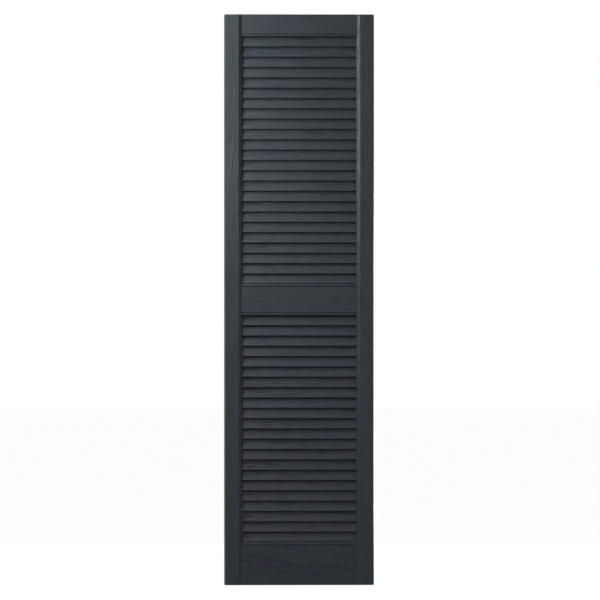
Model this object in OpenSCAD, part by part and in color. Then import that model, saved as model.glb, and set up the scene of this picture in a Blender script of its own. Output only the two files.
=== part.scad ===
// Exterior louvred shutter: a one-piece moulded panel with two stiles,
// three rails and two fields of fixed, sloping slats. The back is hollow and
// stiffened with ribs whose rear edges all lie in the plane that meets a wall.
// Width runs along X, depth along Y with the show side towards -Y, height
// along Z. The origin is at the middle of the bottom edge.

/* [Panel] */
// Overall width
panel_w = 368.3; // [330:0.1:420]
// Overall depth, from the stile face to the wall plane
panel_d = 28; // [28:0.5:32]
// Nominal wall of the moulding
wall = 2.8; // [2.2:0.1:3.2]
// Slope of the outer edge walls, which lets the panel leave its mould
draft = 4; // [2:0.5:5]
// Corner radius of the outline at the wall plane
corner_r = 3.4; // [3.2:0.1:6]
// Radius where the front face turns into the outer edge
edge_r = 1.2; // [0.8:0.1:1.3]

/* [Stiles] */
// Width of each stile, from the panel's edge to the top of its bevel
stile_w = 35.1; // [30:0.1:50]
// Width of the bevel along the inner edge of each stile
bevel_w = 7.2; // [5:0.1:9]
// How far the stile faces stand in front of the rails
bevel_d = 5; // [3:0.1:5]
// Width of the steep cheek between the foot of the bevel and the slats
cheek_w = 1.85; // [1:0.05:2.2]
// Depth of that cheek
cheek_d = 2.6; // [2:0.1:3]
// Slope of the walls beside the slats, behind the cheek
side_draft = 3; // [2:0.5:6]

/* [Rails] */
// Height of the bottom rail
bottom_rail_h = 106.1; // [60:0.1:160]
// Height of the middle rail
mid_rail_h = 76.2; // [50:0.1:120]
// Height of the top rail
top_rail_h = 54.5; // [40:0.1:120]
// Width of the bead along a rail's lower edge
lower_bead = 4.9; // [3.5:0.1:8]
// Width of the bead along a rail's upper edge
upper_bead = 6.1; // [4.5:0.1:8]
// Width of the groove that sets a bead off from its rail
groove_w = 2; // [1:0.1:2.4]
// Depth of that groove
groove_d = 1; // [0.5:0.1:1.2]

/* [Slats] */
// Slats in the lower field
lower_slats = 22; // [6:1:30]
// Slats in the upper field
upper_slats = 24; // [6:1:30]
// Height from one slat to the next
pitch = 25.33; // [24:0.01:25.5]
// Thickness of a slat
slat_t = 2.8; // [2.2:0.1:2.8]
// Slope of the slats, measured from the vertical
slat_tilt = 18; // [12:0.5:20]
// How far a slat's nose sits behind the rail faces
slat_set = 2.4; // [1.6:0.1:2.6]
// How far a slat's top edge rises behind the nose above it
slat_lap = 1.2; // [0.6:0.1:1.2]

/* [Back] */
// Thickness of the stiffening ribs
rib_t = 2.4; // [1.8:0.1:3]
// Distance of the two upright ribs from the centre line
rib_x = 47; // [38:0.5:56]
// Depth of the upright ribs where they pass behind the slats
rib_d = 7; // [5:0.5:8]
// Pockets along the back of each stile
stile_pockets = 11; // [7:1:14]
// Plastic colour
plastic = "#3f444a"; // ["#3f444a":Slate, "#e9e9e4":White, "#23402f":Green, "#5b2327":Burgundy]

/* [Hidden] */
$fn = 32;

panel_h = bottom_rail_h + mid_rail_h + top_rail_h
        + (lower_slats + upper_slats) * pitch;
half_w = panel_w / 2;
y_front = -panel_d / 2;
y_back = panel_d / 2;
y_rail = y_front + bevel_d;
// Top of the bevel and foot of the bevel
x_face = half_w - stile_w;
x_foot = x_face - bevel_w;
// Height at which each field starts and ends
z_low0 = bottom_rail_h;
z_low1 = z_low0 + lower_slats * pitch;
z_up0 = z_low1 + mid_rail_h;
z_up1 = z_up0 + upper_slats * pitch;
z_mid = (z_low1 + z_up0) / 2;
// Corner radius at the wall plane, never too small for the draft and the edge
post_r = max(corner_r,
             (edge_r + (panel_d - edge_r) * sin(draft)) / cos(draft) + 0.1);
// The lowest nose of each field sinks this far into the rail below it
sink = 0.4;
// Ends of the slats, inside the side walls
x_slat = x_foot - 0.6;
// Inner face of a side wall at depth y, behind its cheek
function x_side(y) =
    x_foot - cheek_w - (y - y_rail - cheek_d) * tan(side_draft);
// Far face of the walls beside the slats, at the front and at the wall plane
x_wall_front = x_foot + 2.2;
x_wall_back = x_side(y_back) + wall;

// One corner of the outline, turned about its own axis: the sloping edge wall,
// then the rounded front edge. It runs 1 mm past the wall plane.
module corner_post() {
    r_c = post_r - (edge_r + (panel_d - edge_r) * sin(draft)) / cos(draft);
    rotate_extrude()
        polygon(concat(
            [[0, -1], [post_r + tan(draft), -1]],
            [for (a = [draft : (90 - draft) / 5 : 90.001])
                [r_c + edge_r * cos(a), panel_d - edge_r + edge_r * sin(a)]],
            [[0, panel_d]]));
}

// The whole outline as a solid block
module outline() {
    difference() {
        hull()
            for (x = [post_r - half_w, half_w - post_r],
                 z = [post_r, panel_h - post_r])
                translate([x, y_back, z]) rotate([90, 0, 0]) corner_post();
        translate([-half_w - 5, y_back, -5])
            cube([panel_w + 10, 5, panel_h + 10]);
    }
}

// Full-height recess between the stiles, with a bevel on each side
module front_recess() {
    translate([0, 0, -5])
        linear_extrude(panel_h + 10)
            polygon([[-x_face - bevel_w / bevel_d, y_front - 1],
                     [x_face + bevel_w / bevel_d, y_front - 1],
                     [x_foot, y_rail], [-x_foot, y_rail]]);
}

// Waste along the front edge of a rail's outer end, at the top of the panel.
// What it leaves is the same rounded edge that the stiles have.
module end_round() {
    dy = y_rail + edge_r - 0.04;
    dz = panel_h + 0.04
       - (edge_r + (y_back - y_rail - edge_r) * sin(draft)) / cos(draft);
    translate([-x_foot, 0, 0]) rotate([90, 0, 90])
        linear_extrude(2 * x_foot)
            polygon(concat(
                [[y_rail - 1, dz]],
                [for (a = [180 : -(90 - draft) / 5 : 89.999 + draft])
                    [dy + edge_r * cos(a), dz + edge_r * sin(a)]],
                [[dy, dz + edge_r + 2], [y_rail - 1, dz + edge_r + 2]]));
}

// Window for one field of slats, with cheeks and sloping side walls
module window(z0, z1) {
    translate([0, 0, z0])
        linear_extrude(z1 - z0)
            polygon([[-x_foot - cheek_w / cheek_d, y_rail - 1],
                     [x_foot + cheek_w / cheek_d, y_rail - 1],
                     [x_foot - cheek_w, y_rail + cheek_d],
                     [x_side(y_back + 1), y_back + 1],
                     [-x_side(y_back + 1), y_back + 1],
                     [cheek_w - x_foot, y_rail + cheek_d]]);
}

// V groove across a rail face, at height z
module groove(z) {
    translate([-x_foot, 0, 0]) rotate([90, 0, 90])
        linear_extrude(2 * x_foot)
            polygon([[y_rail - 1, z - groove_w / 2 * (1 + 1 / groove_d)],
                     [y_rail + groove_d, z],
                     [y_rail - 1, z + groove_w / 2 * (1 + 1 / groove_d)]]);
}

// Pockets behind one stile, parted by cross ribs
module stile_hollow() {
    z0 = wall + 1.8;
    z1 = panel_h - wall - 1.8;
    step = (z1 - z0 + rib_t) / stile_pockets;
    x_out = half_w - wall;
    for (i = [0 : stile_pockets - 1])
        translate([0, 0, z0 + i * step])
            linear_extrude(step - rib_t)
                polygon([
                    [x_face + 0.9, y_front + wall],
                    [x_out - (panel_d - wall) * tan(draft), y_front + wall],
                    [x_out + tan(draft), y_back + 1],
                    [x_wall_back - tan(draft), y_back + 1],
                    [x_wall_front, y_rail + 2]]);
}

// Pockets behind one rail, from height z0 to z1
module rail_hollow(z0, z1) {
    x_end = x_side(y_back) - 0.4;
    for (s = [-1, 1])
        translate([s < 0 ? -x_end : rib_x + rib_t / 2, y_rail + wall, z0])
            cube([x_end - rib_x - rib_t / 2, panel_d, z1 - z0]);
    translate([-rib_x + rib_t / 2, y_rail + wall, z0])
        cube([2 * rib_x - rib_t, panel_d, z1 - z0]);
}

// Section of one slat in the Y-Z plane, its nose resting on height z:
// a half-round nose, two parallel faces and a level top edge.
function slat_section(z) =
    let (r = slat_t / 2,
         yc = y_rail + slat_set + r,
         zc = z + r,
         c = cos(slat_tilt), s = sin(slat_tilt), t = tan(slat_tilt),
         z_top = z + pitch + slat_lap,
         yf = yc - r * c, zf = zc + r * s,
         yb = yc + r * c, zb = zc - r * s)
    concat(
        [for (a = [180 - slat_tilt : 180 / 8 : 360 - slat_tilt + 0.01])
            [yc + r * cos(a), zc + r * sin(a)]],
        [[yb + (z_top - zb) * t, z_top], [yf + (z_top - zf) * t, z_top]]);

// Slats of one field, and the upright ribs that join them at the back
module slats(z0, n) {
    r = slat_t / 2;
    yc = y_rail + slat_set + r;
    t = tan(slat_tilt);
    for (k = [0 : n - 1])
        translate([-x_slat, 0, 0]) rotate([90, 0, 90])
            linear_extrude(2 * x_slat)
                polygon(slat_section(z0 + k * pitch));
    for (x = [-rib_x, rib_x])
        translate([x - rib_t / 2, 0, 0]) rotate([90, 0, 90])
            linear_extrude(rib_t)
                polygon(concat(
                    [[y_back, z0], [y_back, z0 + n * pitch + 1]],
                    [for (k = [n - 1 : -1 : 0])
                        let (z = z0 + k * pitch,
                             zt = z + pitch + (k == n - 1 ? 1 : slat_lap - 0.3),
                             zm = z + pitch * 0.45)
                        each [[yc + (zt - z - r) * t, zt],
                              [yc + (zm - z - r) * t, zm],
                              [y_back - rib_d, z + slat_lap + 3]]],
                    [[y_back - rib_d, z0]]));
}

module shutter() {
    color(plastic)
    union() {
        difference() {
            outline();
            front_recess();
            window(z_low0 + sink, z_low1);
            window(z_up0 + sink, z_up1);
            // Groove above each lower bead and below each upper bead
            groove(z_low1 + lower_bead);
            groove(z_up1 + lower_bead);
            groove(z_low0 + sink - upper_bead);
            groove(z_up0 + sink - upper_bead);
            stile_hollow();
            mirror([1, 0, 0]) stile_hollow();
            end_round();
            translate([0, 0, panel_h]) mirror([0, 0, 1]) end_round();
            rail_hollow(wall + 1.8, z_low0 + sink - wall);
            // The middle rail has a level rib across it as well
            rail_hollow(z_low1 + wall, z_mid - rib_t / 2);
            rail_hollow(z_mid + rib_t / 2, z_up0 + sink - wall);
            rail_hollow(z_up1 + wall, panel_h - wall - 1.8);
        }
        slats(z_low0, lower_slats);
        slats(z_up0, upper_slats);
    }
}

shutter();
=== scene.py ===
import math

import bpy
import numpy as np
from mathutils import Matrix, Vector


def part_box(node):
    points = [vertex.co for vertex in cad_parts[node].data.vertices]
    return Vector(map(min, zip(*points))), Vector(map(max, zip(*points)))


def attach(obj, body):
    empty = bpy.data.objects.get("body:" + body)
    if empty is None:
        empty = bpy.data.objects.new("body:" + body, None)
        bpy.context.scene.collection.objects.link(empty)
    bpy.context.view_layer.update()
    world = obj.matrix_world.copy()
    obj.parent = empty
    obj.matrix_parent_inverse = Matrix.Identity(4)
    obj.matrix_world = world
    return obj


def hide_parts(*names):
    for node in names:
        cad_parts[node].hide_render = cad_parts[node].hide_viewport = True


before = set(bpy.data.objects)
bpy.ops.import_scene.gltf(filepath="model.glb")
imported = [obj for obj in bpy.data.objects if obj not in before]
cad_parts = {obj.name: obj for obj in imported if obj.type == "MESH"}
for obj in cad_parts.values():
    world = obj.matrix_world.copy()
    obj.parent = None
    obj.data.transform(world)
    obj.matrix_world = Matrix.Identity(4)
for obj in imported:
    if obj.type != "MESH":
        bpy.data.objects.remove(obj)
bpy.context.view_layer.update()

MM = 0.001

# ---------------------------------------------------------------- sizes (mm)
# The same sizes as the CAD part: the box comes from the frame, the rest is the
# shutter's own layout.
LO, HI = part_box("shutter")
W = (HI.x - LO.x) / MM
H = (HI.z - LO.z) / MM
D = (HI.y - LO.y) / MM
YF, YB = LO.y / MM, HI.y / MM            # stile faces, wall plane
HALF = W / 2
WALL, DRAFT = 2.8, math.radians(4)
POST_R, EDGE_R = 3.4, 1.2
X_FACE = HALF - 35.1
X_FOOT = X_FACE - 7.2
YR = YF + 5.0                            # rail faces
CHEEK_W, CHEEK_D = 1.85, 2.6             # steep cheek beside the slats
SIDE = math.tan(math.radians(3))
PITCH, N_LOW, N_UP = 25.33, 22, 24
Z_LOW0 = 106.1
Z_LOW1 = Z_LOW0 + N_LOW * PITCH
Z_UP0 = Z_LOW1 + 76.2
Z_UP1 = Z_UP0 + N_UP * PITCH
SINK = 0.4
SLAT_T, TILT, SLAT_SET, LAP = 2.8, math.radians(18), 2.4, 1.2
RIB_T, RIB_X, RIB_D = 2.4, 47.0, 7.0
POCKETS = 11
LOWER_BEAD, UPPER_BEAD = 4.5, 6.9


def x_side(y):
    return X_FOOT - CHEEK_W - (y - YR - CHEEK_D) * SIDE


# ---------------------------------------------------------------- noise
def _hash(ix, iy, seed):
    h = (ix.astype(np.int64) * 374761393 + iy.astype(np.int64) * 668265263
         + np.int64(seed) * 2246822519) & 0xFFFFFFFF
    h = ((h ^ (h >> 13)) * 1274126177) & 0xFFFFFFFF
    return (h ^ (h >> 16)) & 0xFFFFFFFF


def perlin(x, y, seed):
    """Gradient noise, about -1 to 1."""
    x, y = np.broadcast_arrays(np.asarray(x, float), np.asarray(y, float))
    ix, iy = np.floor(x), np.floor(y)
    fx, fy = x - ix, y - iy
    ux = fx * fx * fx * (fx * (fx * 6 - 15) + 10)
    uy = fy * fy * fy * (fy * (fy * 6 - 15) + 10)

    def corner(dx, dy):
        a = _hash(ix + dx, iy + dy, seed) * (2 * math.pi / 4294967296.0)
        return np.cos(a) * (fx - dx) + np.sin(a) * (fy - dy)

    low = corner(0, 0) * (1 - ux) + corner(1, 0) * ux
    high = corner(0, 1) * (1 - ux) + corner(1, 1) * ux
    return (low * (1 - uy) + high * uy) * 1.5


def smooth(x, a, b):
    t = np.clip((x - a) / (b - a), 0, 1)
    return t * t * (3 - 2 * t)


def grain(u, v, seed, centre=0.0, depth0=30.0, slope=0.06, spacing=5.0, drift=0.0, amount=1.0):
    """Depth of the embossed wood grain in mm, 0 on the highs to about 0.4 in the
    lows. u runs along the board and v across it, in mm. The rings of a trunk cut
    by a flat board give its lines: straight near the edges, arches in the middle."""
    wob = 5.0 * perlin(u / 170.0, v / 60.0, seed + 1) + 1.5 * perlin(u / 60.0, v / 24.0, seed + 2)
    vv = v - centre - drift * u + wob
    dd = depth0 + slope * u + 7.0 * perlin(u / 120.0, v / 90.0, seed + 3)
    c = np.sqrt(vv * vv + dd * dd) / spacing
    ph = c + 0.3 * perlin(u / 60.0, c * 0.6, seed + 7)
    # ring lines that come and go along the board, softer strokes between them,
    # and short fine pores
    wave = (0.5 - 0.5 * np.cos(2 * math.pi * ph)) ** 1.6
    dash = smooth(perlin(u / 42.0, np.floor(ph + 0.5) * 7.31 + 0.5, seed + 8), -0.3, 0.45)
    broad = perlin(u / 55.0 + 3.1, c * 0.8, seed + 4)
    mid = perlin(u / 24.0 + 7.7, c * 2.1, seed + 5)
    fine = perlin(u / 12.0 + 1.3, c * 4.4, seed + 6)
    patch = 0.35 + 0.65 * smooth(perlin(u / 120.0, v / 26.0, seed + 9), -0.45, 0.4)
    d = (0.34 * wave * (0.12 + 0.88 * dash)
         + 0.12 * smooth(broad, -0.2, 0.8)
         + 0.20 * smooth(mid, 0.0, 0.6)
         + 0.06 * smooth(fine, 0.05, 0.7))
    return amount * d * patch


# ---------------------------------------------------------------- meshes
def new_object(name, verts_mm, faces, grain_values=None, wear_values=None):
    """faces: a list of arrays, each (n, k) vertex numbers, or lists."""
    me = bpy.data.meshes.new(name)
    v = np.asarray(verts_mm, float) * MM
    loops, starts, totals = [], [], []
    at = 0
    for f in faces:
        f = np.asarray(f, np.int32)
        if f.ndim == 1:
            f = f[None, :]
        n, k = f.shape
        loops.append(f.ravel())
        starts.append(at + np.arange(n) * k)
        totals.append(np.full(n, k))
        at += n * k
    loops, starts, totals = (np.concatenate(a).astype(np.int32) for a in (loops, starts, totals))
    me.vertices.add(len(v))
    me.vertices.foreach_set("co", v.astype(np.float32).ravel())
    me.loops.add(len(loops))
    me.loops.foreach_set("vertex_index", loops)
    me.polygons.add(len(starts))
    me.polygons.foreach_set("loop_start", starts)
    me.polygons.foreach_set("loop_total", totals)
    me.update(calc_edges=True)
    me.validate()
    for key, values in (("grain", grain_values), ("wear", wear_values)):
        if values is not None:
            a = me.attributes.new(key, "FLOAT", "POINT")
            a.data.foreach_set("value", np.asarray(values, np.float32))
    o = bpy.data.objects.new(name, me)
    bpy.context.scene.collection.objects.link(o)
    return o


def tube(points, closed_loop=True, first=0):
    """points: (stations, ring, 3). Faces of a tube with capped ends, numbered from first."""
    m, n, _ = points.shape
    i = np.arange(m - 1)[:, None]
    j = np.arange(n)[None, :]
    k = (j + 1) % n
    a, b, c, d = i * n + j, i * n + k, (i + 1) * n + k, (i + 1) * n + j
    sides = np.stack([a, b, c, d], -1).reshape(-1, 4) + first
    cap0 = (np.arange(n)[::-1] + first)
    cap1 = (np.arange(n) + (m - 1) * n + first)
    return sides, cap0, cap1


def facing_out(points):
    """Signed volume of the tube, to turn its faces outwards."""
    m, n, _ = points.shape
    sides, c0, c1 = tube(points)
    p = points.reshape(-1, 3)
    q = p[sides]
    vol = 0.0
    for t in ((0, 1, 2), (0, 2, 3)):
        a, b, c = q[:, t[0]], q[:, t[1]], q[:, t[2]]
        vol += np.einsum("ij,ij->i", a, np.cross(b, c)).sum()
    for cap in (c0, c1):
        r = p[cap]
        o = r.mean(0)
        a, b = r, np.roll(r, -1, 0)
        vol += np.einsum("ij,ij->i", np.broadcast_to(o, a.shape), np.cross(a, b)).sum()
    return vol > 0


class Solids:
    """Closed tubes gathered into one mesh."""

    def __init__(self):
        self.v, self.f, self.g, self.w, self.n = [], [], [], [], 0

    def add(self, points, g=None, w=None):
        """g is the grain's depth and w how rubbed each point is, 0 to 1."""
        points = np.asarray(points, float)
        if not facing_out(points):
            points = points[:, ::-1]
            g = None if g is None else g[:, ::-1]
            w = None if w is None else w[:, ::-1]
        m, n, _ = points.shape
        sides, c0, c1 = tube(points, first=self.n)
        self.v.append(points.reshape(-1, 3))
        self.g.append(np.zeros(m * n) if g is None else g.reshape(-1))
        self.w.append(np.zeros(m * n) if w is None else np.ascontiguousarray(w).reshape(-1))
        self.f += [sides, c0, c1]
        self.n += m * n

    def build(self, name):
        return new_object(name, np.concatenate(self.v), self.f, np.concatenate(self.g), np.concatenate(self.w))


def prism_z(poly, z0, z1):
    """A polygon of (x, y) between two heights."""
    p = np.asarray(poly, float)
    return np.stack([np.column_stack([p, np.full(len(p), z)]) for z in (z0, z1)])


def prism_x(poly, x0, x1, stations=2):
    """A polygon of (y, z) between two x positions."""
    p = np.asarray(poly, float)
    return np.stack([np.column_stack([np.full(len(p), x), p]) for x in np.linspace(x0, x1, stations)])


def combine(target, other, operation):
    m = target.modifiers.new("cut", "BOOLEAN")
    m.solver, m.operation, m.object = "MANIFOLD", operation, other
    bpy.context.view_layer.update()
    dg = bpy.context.evaluated_depsgraph_get()
    me = bpy.data.meshes.new_from_object(target.evaluated_get(dg), preserve_all_data_layers=True, depsgraph=dg)
    target.modifiers.clear()
    old = target.data
    target.data = me
    bpy.data.meshes.remove(old)
    data = other.data
    bpy.data.objects.remove(other)
    bpy.data.meshes.remove(data)
    return target


def along(a, b, step):
    """Points from a to b, b left out, about step apart."""
    a, b = np.asarray(a, float), np.asarray(b, float)
    n = max(1, int(round(np.linalg.norm(b - a) / step)))
    return a + (b - a) * (np.arange(n) / n)[:, None]


def arc(cx, cy, r, a0, a1, n):
    """n points on an arc, in degrees, the last one left out."""
    t = np.radians(a0 + (a1 - a0) * np.arange(n) / n)
    return np.column_stack([cx + r * np.cos(t), cy + r * np.sin(t)])


def normals_2d(p):
    """Outward normals of a closed counter-clockwise loop."""
    d = np.roll(p, -1, 0) - np.roll(p, 1, 0)
    n = np.column_stack([d[:, 1], -d[:, 0]])
    return n / np.maximum(np.linalg.norm(n, axis=1), 1e-9)[:, None]


def ccw(p):
    a = 0.5 * np.sum(p[:, 0] * np.roll(p[:, 1], -1) - np.roll(p[:, 0], -1) * p[:, 1])
    return a > 0


FINE = 1.0

# ---------------------------------------------------------------- stiles
# Pocket along the back of a stile, (x, y), for the right-hand side
X_OUT = HALF - WALL
X_WALL_BACK, X_WALL_FRONT = x_side(YB) + WALL, X_FOOT + 2.2
POCKET = np.array([
    [X_FACE + 0.9, YF + WALL],
    [X_OUT - (D - WALL) * math.tan(DRAFT), YF + WALL],
    [X_OUT, YB],
    [X_WALL_BACK, YB],
    [X_WALL_FRONT, YR + 2.0]])


def outline_cutter(name):
    """The panel's outline with sloping edge walls and a rounded front edge. In
    front of the faces it opens outwards, so that it trims the edges and nothing else."""
    inset_c = (EDGE_R + (D - EDGE_R) * math.sin(DRAFT)) / math.cos(DRAFT)
    rings = [(YB, 0.0)]
    for a in np.radians([4, 20, 35, 50, 62, 72, 80]):
        rings.append((YF + EDGE_R - EDGE_R * math.sin(a), inset_c - EDGE_R * math.cos(a)))
    rings.append((YF - 6, -6.0))
    loops = []
    for y, inset in rings:
        r = max(POST_R - inset, 0.15)
        x1, z0, z1 = HALF - inset, inset, H - inset
        pts = []
        for cx, cz, a0 in ((x1 - r, z1 - r, 0), (-x1 + r, z1 - r, 90), (-x1 + r, z0 + r, 180), (x1 - r, z0 + r, 270)):
            for k in range(9):
                a = math.radians(a0 + 90 * k / 8)
                pts.append((cx + r * math.cos(a), y, cz + r * math.sin(a)))
        loops.append(pts)
    s = Solids()
    rubbed = np.array([0, 0.3, 0.7, 1, 1, 1, 1, 0.9, 0])[:, None] * np.ones((1, len(loops[0])))
    s.add(np.array(loops), None, rubbed)
    return s.build(name)


def stile(name, side, seed):
    step = 0.62 * FINE
    # bevel from its foot up to the face, with a rounded top edge
    foot, top = np.array([X_FOOT, YR]), np.array([X_FACE, YF])
    slope = math.degrees(math.atan2(5.0, 7.2))
    r = 1.1
    t = r * math.tan(math.radians(slope / 2))
    on_bevel = top + (foot - top) / np.linalg.norm(foot - top) * t
    front = np.vstack([
        along([x_side(YB + 2), YB + 2], [X_FOOT - CHEEK_W, YR + CHEEK_D], 3.5),
        along([X_FOOT - CHEEK_W, YR + CHEEK_D], foot, 1.2),
        along(foot, on_bevel, step * 1.15),
        arc(X_FACE + t, YF + r, r, -90 - slope, -90, 4),
        along([X_FACE + t, YF], [HALF + 3, YF], step)])
    back = np.vstack([
        along([HALF + 3, YF], [HALF + 3, YB + 2], 8.0),
        along([HALF + 3, YB + 2], [X_OUT + 2 * math.tan(DRAFT), YB + 2], 8.0),
        along([X_OUT + 2 * math.tan(DRAFT), YB + 2], POCKET[1], 9.0),
        along(POCKET[1], POCKET[0], 9.0),
        along(POCKET[0], POCKET[4], 9.0),
        along(POCKET[4], [X_WALL_BACK - 0.2, YB + 2], 9.0),
        along([X_WALL_BACK - 0.2, YB + 2], [x_side(YB + 2), YB + 2], 8.0)])
    ring = np.vstack([front, back])
    face = np.zeros(len(ring))
    # relief on the bevel and face only, fading into the wall beside the slats
    n_wall = (len(along([x_side(YB + 2), YB + 2], [X_FOOT - CHEEK_W, YR + CHEEK_D], 3.5))
              + len(along([X_FOOT - CHEEK_W, YR + CHEEK_D], foot, 1.2)))
    face[n_wall:len(front)] = 1.0
    # the top edge of the bevel and the outer edge are rubbed
    worn = face * np.maximum(np.exp(-((ring[:, 0] - X_FACE) / 1.5) ** 2),
                             0.8 * smooth(ring[:, 0], HALF - 5.0, HALF - 2.0))
    if not ccw(ring):
        ring, face, worn = ring[::-1], face[::-1], worn[::-1]
    nrm = normals_2d(ring)
    z = np.linspace(-3, H + 3, int(round((H + 6) / (5.0 * FINE))) + 1)
    fade = face * smooth(ring[:, 0], X_FOOT - 0.6, X_FOOT + 0.8)
    u = np.broadcast_to(z[:, None], (len(z), len(ring)))
    v = np.broadcast_to(ring[:, 0][None, :], u.shape)
    g = grain(u, v, seed, centre=HALF + (26 if side > 0 else 60), depth0=16, slope=0.008, spacing=4.9, drift=0.003,
              amount=(1.0 if side > 0 else 0.9) * (0.4 + 0.85 * smooth(u, 120, 1150)))
    # a coarser, mottled emboss on the bevel
    mottle = smooth(perlin(u / 7.0, v / 3.2, seed + 20), -0.3, 0.5) * 0.2 * (1 - smooth(v, X_FACE - 1.5, X_FACE + 0.5))
    g = (g + mottle) * fade[None, :]
    pts = np.empty((len(z), len(ring), 3))
    pts[..., 0] = (ring[:, 0][None, :] - nrm[:, 0][None, :] * g)
    pts[..., 1] = ring[:, 1][None, :] - nrm[:, 1][None, :] * g
    pts[..., 2] = z[:, None]
    pts[..., 0] *= side
    s = Solids()
    s.add(pts, g, np.broadcast_to(worn[None, :], g.shape))
    body = s.build(name)
    # cross ribs and end walls, one millimetre into the walls round them
    grown = np.array([
        [X_FACE + 0.5, YF + WALL - 1.0],
        [X_OUT - (D - WALL) * math.tan(DRAFT) + 1.0, YF + WALL - 1.0],
        [X_OUT + 1.0, YB + 1],
        [X_WALL_BACK - 1.0, YB + 1],
        [X_WALL_FRONT - 1.0, YR + 0.9]]) * [side, 1]
    ribs = Solids()
    z0, z1 = WALL + 1.8, H - WALL - 1.8
    pitch = (z1 - z0 + RIB_T) / POCKETS
    ribs.add(prism_z(grown, -2, z0))
    ribs.add(prism_z(grown, z1, H + 2))
    for i in range(1, POCKETS):
        z_hi = z0 + i * pitch
        ribs.add(prism_z(grown, z_hi - RIB_T, z_hi))
    combine(body, ribs.build(name + "_ribs"), "UNION")
    combine(body, outline_cutter(name + "_outline"), "INTERSECT")
    return body


# ---------------------------------------------------------------- rails
def edge_profile(z_edge, sign, groove, deep, seat=False):
    """(y, z) points of a rail's front edge, from the edge inwards: the corner, the
    bead, crowned on its upper half, and the groove, whose upper side slopes in and whose lower side is
    steep. sign is +1 at a lower edge and -1 at an upper one. A seat has a crease
    behind its corner, under the nose of the slat that rises from it."""
    if seat:
        pts = [(YR + 5.6, 0.0), (YR + 4.4, 1.6), (YR + 2.0, 1.6), (YR + 1.5, 0.3), (YR + 1.0, 0.38), (YR + 0.72, 0.6)]
        d = 0.95
    else:
        r = 0.6
        pts = [(YR + r * (1 - math.sin(t)) + 0.03, r * (1 - math.cos(t))) for t in np.radians([0, 18, 36, 54, 72])]
        d = 0.95
    rise, fall = 2.1, 0.6
    first = d
    reach = groove + (rise if sign > 0 else fall)
    while d < reach + 0.1:
        up = (d - groove) * sign                     # height above the groove's bottom
        y = 0.0
        if 0 <= up < rise:
            y = deep * (1 - up / rise)
        elif -fall < up < 0:
            y = deep * (1 + up / fall)
        if d < groove:
            t = (d - first) / (groove - first)
            if (t > 0.5) == (sign > 0):          # only the bead's upper half is crowned
                y = max(y, 0.6 * (2 * t - 1) ** 2)
        pts.append((YR + y, d))
        d += 0.2
    return [(y, z_edge + sign * dz) for y, dz in pts], d - 0.2


def rail(name, z0, z1, seed, low, high, pockets, deep=1.8, **ring):
    """A rail from z0 to z1. low and high say what its edges are: "lip" over slats,
    "seat" under slats, or "end" at the panel's end."""
    step = 0.62 * FINE
    back = YB - 0.03
    left, right = [], []
    lower, upper = [], []
    if low == "end":
        lo_c = z0 + 0.03 + (EDGE_R + (YB - YR - EDGE_R) * math.sin(DRAFT)) / math.cos(DRAFT)
        lower = [(back, z0 + 0.03)] + [
            (YR + EDGE_R - EDGE_R * math.cos(t), lo_c - EDGE_R * math.sin(t))
            for t in np.radians([86, 70, 55, 40, 25, 12])]
        start = lo_c
    else:
        e, used = edge_profile(z0, 1, LOWER_BEAD, deep)
        lower = [(back, z0)] + e
        start = z0 + used
    if high == "end":
        hi_c = z1 - 0.03 - (EDGE_R + (YB - YR - EDGE_R) * math.sin(DRAFT)) / math.cos(DRAFT)
        upper = [(back, z1 - 0.03)] + [
            (YR + EDGE_R - EDGE_R * math.cos(t), hi_c + EDGE_R * math.sin(t))
            for t in np.radians([86, 70, 55, 40, 25, 12])]
        stop = hi_c
    else:
        e, used = edge_profile(z1, -1, UPPER_BEAD, deep, seat=True)
        upper = [(back, z1)] + e
        stop = z1 - used
    middle = [(YR, z) for z in np.linspace(start, stop, int(round((stop - start) / step)) + 1)]
    prof = np.array(lower + middle[:-1] + [middle[-1]] + upper[::-1])
    # drop doubled points
    keep = np.r_[True, np.linalg.norm(np.diff(prof, axis=0), axis=1) > 0.02]
    prof = prof[keep]
    face = (prof[:, 0] < YR + 1.3).astype(float)
    if not ccw(prof):
        prof, face = prof[::-1], face[::-1]
    nrm = normals_2d(prof)
    x = np.linspace(-X_FOOT - 0.7, X_FOOT + 0.7, int(round(2 * X_FOOT / (4.0 * FINE))) + 1)
    u = np.broadcast_to(x[:, None], (len(x), len(prof)))
    v = np.broadcast_to(prof[:, 1][None, :], u.shape)
    g = grain(u, v, seed, **ring) * face[None, :]
    worn = np.zeros(len(prof))
    for edge, kind in ((z0, low), (z1, high)):
        reach = 3.0 if kind == "end" else 1.6
        worn = np.maximum(worn, face * np.exp(-((prof[:, 1] - edge) / reach) ** 2))
    pts = np.empty((len(x), len(prof), 3))
    pts[..., 0] = x[:, None]
    pts[..., 1] = prof[:, 0][None, :] - nrm[:, 0][None, :] * g
    pts[..., 2] = prof[:, 1][None, :] - nrm[:, 1][None, :] * g
    s = Solids()
    s.add(pts, g, np.broadcast_to(worn[None, :], g.shape))
    body = s.build(name)
    holes = Solids()
    x_end = x_side(YB) - 0.4
    for pz0, pz1 in pockets:
        for a, b in ((-x_end, -RIB_X - RIB_T / 2), (-RIB_X + RIB_T / 2, RIB_X - RIB_T / 2), (RIB_X + RIB_T / 2, x_end)):
            holes.add(prism_z([[a, YR + WALL], [b, YR + WALL], [b, YB + 2], [a, YB + 2]], pz0, pz1))
    return combine(body, holes.build(name + "_holes"), "DIFFERENCE")


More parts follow.
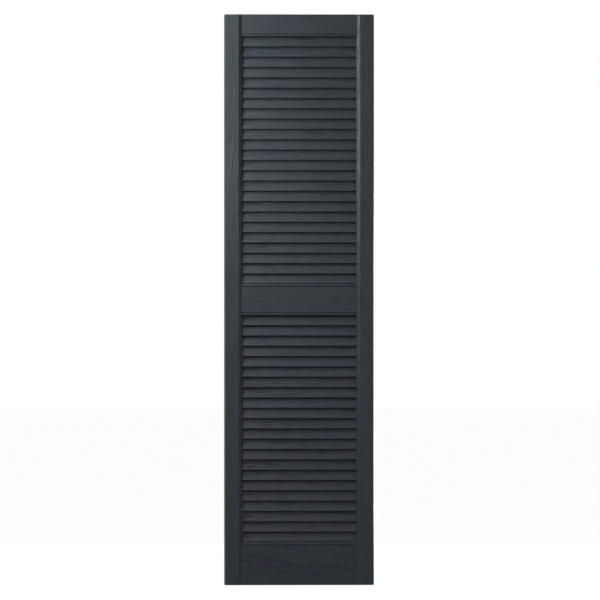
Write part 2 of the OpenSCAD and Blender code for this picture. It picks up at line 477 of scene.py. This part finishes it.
# ---------------------------------------------------------------- slats
def slat_ring(z):
    """Section of a slat, (y, z), counter-clockwise or not, with how much relief each point takes."""
    r = SLAT_T / 2
    yc, zc = YR + SLAT_SET + r, z + r
    c, s, t = math.cos(TILT), math.sin(TILT), math.tan(TILT)
    top = z + PITCH + LAP
    yf, zf = yc - r * c, zc + r * s
    yb, zb = yc + r * c, zc - r * s
    front_top = (yf + (top - zf) * t, top)
    back_top = (yb + (top - zb) * t, top)
    deg = math.degrees(TILT)
    nose = arc(yc, zc, r, 360 - deg, 180 - deg, 9)        # from the back face round to the front face
    front = along((yf, zf), front_top, 0.66 * FINE)
    edge = along(front_top, back_top, 3.0)
    under = along(back_top, (yb, zb), 9.0)
    ring = np.vstack([nose, front, edge, under])
    up = np.arange(len(front)) * 0.66 * FINE
    relief = np.r_[0.25 * smooth(np.arange(9), 2, 6), 0.25 + 0.75 * smooth(up, 0.2, 2.6), np.zeros(len(edge) + len(under))]
    # distance up the face from the nose, for the grain
    v = np.r_[-np.arange(9)[::-1] * 0.5, np.arange(len(front)) * 0.66 * FINE, np.zeros(len(edge) + len(under))]
    return ring, relief, v


def slats(name, numbers, z0, seed):
    s = Solids()
    x_end = X_FOOT - 0.6
    x = np.linspace(-x_end, x_end, int(round(2 * x_end / (4.0 * FINE))) + 1)
    for k in numbers:
        ring, relief, v = slat_ring(z0 + k * PITCH)
        if k == 0:
            # the slat over a rail is set back at its foot, which leaves a crease
            ring = ring + np.array([1.0, 0.0]) * (2.6 * (1 - smooth(ring[:, 1] - z0, 1.0, 2.0)))[:, None]
        if not ccw(ring):
            ring, relief, v = ring[::-1], relief[::-1], v[::-1]
        nrm = normals_2d(ring)
        u = np.broadcast_to(x[:, None], (len(x), len(ring)))
        vv = np.broadcast_to(v[None, :], u.shape)
        # every slat is another board: most are cut near the middle of the trunk
        pick = (k * 7 + seed // 1000 * 3) % 6
        centre, depth0, slope, spacing, drift = (
            (-34, 12, 0.01, 4.6, 0.03), (10, 5, 0.045, 4.0, 0.0), (46, 16, 0.0, 4.8, -0.025),
            (15, 4, -0.04, 4.2, 0.012), (-14, 9, 0.0, 4.4, 0.04), (26, 7, 0.03, 4.6, -0.02))[pick]
        g = grain(u + 37.0 * k, vv, seed + 40 * k, centre=centre, depth0=depth0 - slope * 37.0 * k, slope=slope,
                  spacing=spacing, drift=drift,
                  amount=(1.1 + 0.45 * ((k * 5) % 4) / 3) * (1.28 - 0.4 * smooth(u, -150, 90)))
        # here and there a small knot
        if k % 3 == 1:
            kx, kv = -90 + (k * 53) % 190, 9 + (k * 5) % 9
            rr = np.sqrt(((u - kx) / 9.0) ** 2 + ((vv - kv) / 2.6) ** 2)
            g = g + 0.22 * np.exp(-((rr - 0.9) / 0.35) ** 2) * smooth(-rr, -2.2, -1.0)
        g = g * relief[None, :]
        pts = np.empty((len(x), len(ring), 3))
        pts[..., 0] = x[:, None]
        pts[..., 1] = ring[:, 0][None, :] - nrm[:, 0][None, :] * g
        pts[..., 2] = ring[:, 1][None, :] - nrm[:, 1][None, :] * g
        nose = (relief > 0) * np.exp(-(v / 1.4) ** 2)
        s.add(pts, g, np.broadcast_to(nose[None, :], g.shape))
    return s.build(name)


def field_ribs(name, z0, n):
    """The two upright ribs that join a field's slats behind."""
    r = SLAT_T / 2
    yc = YR + SLAT_SET + r
    t = math.tan(TILT)
    back = YB - 0.02
    poly = [(back, z0), (back, z0 + n * PITCH + 1)]
    for k in range(n - 1, -1, -1):
        z = z0 + k * PITCH
        zt = z + PITCH + (1 if k == n - 1 else LAP - 0.3)
        zm = z + PITCH * 0.45
        poly += [(yc + (zt - z - r) * t, zt), (yc + (zm - z - r) * t, zm), (YB - RIB_D, z + LAP + 3)]
    poly.append((YB - RIB_D, z0))
    s = Solids()
    for x in (-RIB_X, RIB_X):
        s.add(prism_x(poly, x - RIB_T / 2, x + RIB_T / 2))
    return s.build(name)


# ---------------------------------------------------------------- material
def plastic(name, axis):
    """Satin moulded plastic. axis is the way the grain runs: "Z" or "X"."""
    m = bpy.data.materials.new(name)
    m.use_nodes = True
    nt = m.node_tree
    nt.nodes.clear()
    N = nt.nodes.new
    L = nt.links.new
    out = N("ShaderNodeOutputMaterial")
    p = N("ShaderNodeBsdfPrincipled")
    L(p.outputs[0], out.inputs[0])
    coord = N("ShaderNodeTexCoord")

    def mapped(sx, sy, sz):
        mp = N("ShaderNodeMapping")
        mp.inputs["Scale"].default_value = (sx, sy, sz)
        L(coord.outputs["Object"], mp.inputs["Vector"])
        return mp.outputs[0]

    def stretched(length, width):
        """Scale for marks so many metres long along the grain and so wide across it."""
        a, b = 1.0 / length, 1.0 / width
        return mapped(b, b, a) if axis == "Z" else mapped(a, b, b)

    def noise(vec, detail=2.0, rough=0.5):
        n = N("ShaderNodeTexNoise")
        n.inputs["Scale"].default_value = 1.0
        n.inputs["Detail"].default_value = detail
        n.inputs["Roughness"].default_value = rough
        L(vec, n.inputs["Vector"])
        return n.outputs["Fac"]

    def ramp(fac, a, b, lo, hi):
        r = N("ShaderNodeMapRange")
        r.inputs["From Min"].default_value = a
        r.inputs["From Max"].default_value = b
        r.inputs["To Min"].default_value = lo
        r.inputs["To Max"].default_value = hi
        L(fac, r.inputs["Value"])
        return r.outputs[0]

    def maths(op, a, b):
        n = N("ShaderNodeMath")
        n.operation = op
        for k, x in enumerate((a, b)):
            if isinstance(x, (int, float)):
                n.inputs[k].default_value = x
            else:
                L(x, n.inputs[k])
        return n.outputs[0]

    depth = N("ShaderNodeAttribute")
    depth.attribute_name = "grain"
    # how deep the grain lies at each point, 0 to 1; it drives the painted shade in the lows and the painted highlight
    # on the highs
    low = ramp(depth.outputs["Fac"], 0.0, 0.45, 0.0, 1.0)
    rub = N("ShaderNodeAttribute")
    rub.attribute_name = "wear"
    patchy = noise(stretched(0.03, 0.006), 3.0, 0.6)
    wear = maths("MULTIPLY", rub.outputs["Fac"], ramp(patchy, 0.35, 0.65, 0.3, 1.0))
    streak = noise(stretched(0.065, 0.0042), 3.0, 0.55)
    pores = noise(stretched(0.009, 0.0006), 2.0, 0.6)
    cloud = noise(mapped(5, 5, 5), 3.0, 0.5)
    fine = noise(mapped(1400, 1400, 1400), 2.0, 0.6)

    # colour: charcoal grey with a blue cast, with painted shade in the grain's lows and painted highlight on its highs,
    # and lighter on the rubbed edges
    tone = maths("ADD", ramp(streak, 0.3, 0.7, -0.09, 0.09), ramp(cloud, 0.3, 0.7, -0.05, 0.05))
    # painted shade and painted highlight: the grain's lows are darkened and its highs lightened, in place of the
    # emboss's own shading
    tone = maths("ADD", tone, ramp(low, 0.0, 1.0, 0.12, -0.36))
    tone = maths("ADD", tone, ramp(pores, 0.35, 0.7, 0.04, -0.08))
    tone = maths("ADD", tone, maths("MULTIPLY", wear, 0.16))
    tone = maths("ADD", tone, 1.0)
    base = N("ShaderNodeCombineColor")
    for k, c in enumerate(BASE):
        # the painted shade in the grain's lows keeps more of its blue than of its red
        L(maths("MULTIPLY", maths("ADD", tone, ramp(low, 0.0, 1.0, 0.0, (-0.10, -0.02, 0.12)[k])), c), base.inputs[k])
    L(base.outputs[0], p.inputs["Base Color"])

    rough = maths("ADD", ramp(streak, 0.3, 0.7, 0.39, 0.47), ramp(low, 0.0, 1.0, -0.04, 0.16))
    rough = maths("ADD", rough, maths("MULTIPLY", wear, -0.05))
    rough = maths("ADD", rough, ramp(fine, 0.3, 0.7, -0.03, 0.03))
    L(rough, p.inputs["Roughness"])
    p.inputs["IOR"].default_value = 1.49

    # bump: pores along the grain, finer strokes and the mould's fine texture
    h = maths("ADD", ramp(pores, 0.38, 0.72, 0.0, -0.7), ramp(streak, 0.3, 0.7, -0.9, 0.9))
    h = maths("ADD", h, ramp(fine, 0.0, 1.0, -0.16, 0.16))
    b = N("ShaderNodeBump")
    b.inputs["Strength"].default_value = 1.0
    b.inputs["Distance"].default_value = 0.00007
    L(h, b.inputs["Height"])
    L(b.outputs[0], p.inputs["Normal"])
    return m


BASE = (0.0262, 0.0328, 0.0415)
upright = plastic("plastic_upright", "Z")
level = plastic("plastic_level", "X")


def finish_piece(o, material, angle=32):
    o.data.materials.clear()
    o.data.materials.append(material)
    o.data.polygons.foreach_set("material_index", np.zeros(len(o.data.polygons), np.int32))
    # broad flat faces are shaded flat, so that the rounded edges beside them don't bend their shading
    me = o.data
    vs = np.empty(len(me.vertices) * 3)
    me.vertices.foreach_get("co", vs)
    vs = vs.reshape(-1, 3)
    ends = np.empty(len(me.edges) * 2, np.int32)
    me.edges.foreach_get("vertices", ends)
    length = np.linalg.norm(vs[ends[0::2]] - vs[ends[1::2]], axis=1)
    edge_of = np.empty(len(me.loops), np.int32)
    me.loops.foreach_get("edge_index", edge_of)
    first = np.empty(len(me.polygons), np.int32)
    me.polygons.foreach_get("loop_start", first)
    area_of = np.empty(len(me.polygons))
    me.polygons.foreach_get("area", area_of)
    around = np.add.reduceat(length[edge_of], first)
    me.polygons.foreach_set("use_smooth", 2 * area_of / np.maximum(around, 1e-9) < 0.0035)
    o.data.set_sharp_from_angle(angle=math.radians(angle))
    o.data.update()
    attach(o, "root")
    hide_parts("shutter")


finish_piece(stile("stile_left", -1, 101), upright)
finish_piece(stile("stile_right", 1, 202), upright)
finish_piece(rail("rail_bottom", 0, Z_LOW0 + SINK, 301, "end", "seat",
                  [(WALL + 1.8, Z_LOW0 + SINK - WALL)], deep=1.2, centre=50, depth0=10, slope=0.055, spacing=5.0, drift=-0.05, amount=1.6), level)
Z_MID = (Z_LOW1 + Z_UP0) / 2
finish_piece(rail("rail_middle", Z_LOW1, Z_UP0 + SINK, 402, "lip", "seat",
                  [(Z_LOW1 + WALL, Z_MID - RIB_T / 2), (Z_MID + RIB_T / 2, Z_UP0 + SINK - WALL)],
                  centre=Z_MID + 14, depth0=16, slope=-0.03, spacing=4.8, amount=0.62), level)
finish_piece(rail("rail_top", Z_UP1, H, 503, "lip", "end",
                  [(Z_UP1 + WALL, H - WALL - 1.8)], centre=Z_UP1 + 64, depth0=12, slope=0.03, spacing=4.8, drift=0.02, amount=0.85), level)
for field, z0, n, seed in (("lower", Z_LOW0, N_LOW, 1000), ("upper", Z_UP0, N_UP, 3000)):
    groups = np.array_split(np.arange(n), 6)
    for i, g in enumerate(groups):
        finish_piece(slats(f"slats_{field}_{i + 1}", [int(k) for k in g], z0, seed), level)
    finish_piece(field_ribs(f"ribs_{field}", z0, n), upright)

# ---------------------------------------------------------------- camera
# A long lens from far off, level with the panel's middle and a little to its left.
YAW = math.radians(1.9)
DIST = 18.0
PX = 2.4545 * MM                     # what one of the picture's 600 columns covers at the panel
cam_data = bpy.data.cameras.new("camera")
cam = bpy.data.objects.new("camera", cam_data)
bpy.context.scene.collection.objects.link(cam)
bpy.context.scene.camera = cam
cam_data.sensor_width = 36.0
cam_data.lens = 18.0 / (300 * PX / DIST)
cam_data.clip_end = 200
right = (math.cos(YAW), -math.sin(YAW), 0.0)
fwd = (math.sin(YAW), math.cos(YAW), 0.0)
# the panel's outline is centred on column 299.07 and row 299.72
cx = (300 - 299.07) * PX - YB * MM * math.sin(YAW)
cz = H * MM / 2 + (299.72 - 300) * PX
cam.location = (cx * right[0] - DIST * fwd[0], cx * right[1] - DIST * fwd[1], cz)
cam.rotation_euler = (math.pi / 2, 0, -YAW)
bpy.context.scene.view_settings.view_transform = "Standard"
bpy.context.scene.view_settings.look = "None"
bpy.context.scene.render.film_transparent = False

# ---------------------------------------------------------------- stage
me = bpy.data.meshes.new("floor")
s = 30.0
me.from_pydata([(-s, -s, -0.0004), (s, -s, -0.0004), (s, s, -0.0004), (-s, s, -0.0004)], [], [(0, 1, 2, 3)])
floor = bpy.data.objects.new("floor", me)
bpy.context.scene.collection.objects.link(floor)
fm = bpy.data.materials.new("floor_pale")
fm.use_nodes = True
ft = fm.node_tree
fp = ft.nodes["Principled BSDF"]
fp.inputs["Base Color"].default_value = (0.5, 0.5, 0.5, 1)
fp.inputs["Roughness"].default_value = 0.9
# the floor reads as the same pale paper as the background
fe = ft.nodes.new("ShaderNodeEmission")
fe.inputs["Strength"].default_value = 1.1
fx = ft.nodes.new("ShaderNodeMixShader")
fl = ft.nodes.new("ShaderNodeLightPath")
ff = ft.nodes.new("ShaderNodeMath")
ff.operation = "MULTIPLY"
ff.inputs[1].default_value = 0.88
ft.links.new(fl.outputs["Is Camera Ray"], ff.inputs[0])
ft.links.new(ff.outputs[0], fx.inputs[0])
ft.links.new(fp.outputs[0], fx.inputs[1])
ft.links.new(fe.outputs[0], fx.inputs[2])
ft.links.new(fx.outputs[0], ft.nodes["Material Output"].inputs[0])
me.materials.append(fm)

# ---------------------------------------------------------------- lights
from mathutils import Vector


def area(name, at, to, size, power, size_y=None, colour=(1, 1, 1)):
    l = bpy.data.lights.new(name, "AREA")
    l.energy = power
    l.color = colour
    l.shape = "RECTANGLE"
    l.size, l.size_y = size, size_y or size
    o = bpy.data.objects.new(name, l)
    bpy.context.scene.collection.objects.link(o)
    d = Vector(to) - Vector(at)
    o.location = at
    o.rotation_euler = d.to_track_quat("-Z", "Y").to_euler()
    o.visible_camera = False
    return o


def studio(ambient):
    world = bpy.data.worlds.new("studio")
    bpy.context.scene.world = world
    world.use_nodes = True
    wn = world.node_tree
    wn.nodes.clear()
    wo = wn.nodes.new("ShaderNodeOutputWorld")
    wa = wn.nodes.new("ShaderNodeBackground")
    wb = wn.nodes.new("ShaderNodeBackground")
    wm = wn.nodes.new("ShaderNodeMixShader")
    wl = wn.nodes.new("ShaderNodeLightPath")
    wa.inputs["Color"].default_value = (1, 1, 1, 1)
    wa.inputs["Strength"].default_value = ambient
    wb.inputs["Color"].default_value = (1, 1, 1, 1)
    wb.inputs["Strength"].default_value = 1.0
    wn.links.new(wl.outputs["Is Camera Ray"], wm.inputs[0])
    wn.links.new(wa.outputs[0], wm.inputs[1])
    wn.links.new(wb.outputs[0], wm.inputs[2])
    wn.links.new(wm.outputs[0], wo.inputs[0])


# LIGHTS
studio(0.15)
area("near_left", (-0.46, -0.26, 1.40), (-0.16, 0, 1.25), 0.15, 2.6, 0.5)
area("near_left_high", (-0.50, -0.35, 1.80), (-0.15, 0, 1.25), 0.22, 1.5, 0.4)
area("key", (-0.85, -0.50, 1.75), (-0.15, 0, 1.20), 0.35, 0.9)
area("near_left_low", (-0.45, -0.30, 1.05), (-0.05, 0, 0.40), 0.25, 1.7)
area("front_left", (-1.025, -2.198, 2.10), (0, 0, 0.70), 0.9, 15.0)
area("overhead", (-0.583, -0.336, 3.21), (0, 0, 0.70), 1.0, 6.0)
area("overhead_front", (-0.90, -1.30, 2.90), (0, 0, 0.70), 0.8, 3.0)
area("side_left", (-1.70, -0.90, 0.75), (0, 0, 0.60), 0.35, 2.2, 1.2)
area("front", (0, -2.8, 0.70), (0, 0, 0.70), 0.9, 3.2)
area("right", (2.425, -1.40, 0.70), (0, 0, 0.70), 0.9, 3.7)
area("behind", (0.6, 3.0, 0.25), (0, 0, 0.70), 1.4, 60)
area("behind_right", (2.4, 1.1, 0.30), (0.1, 0, 0.70), 1.0, 28)
area("behind_left", (-2.4, 1.1, 0.30), (-0.1, 0, 0.70), 1.0, 28)
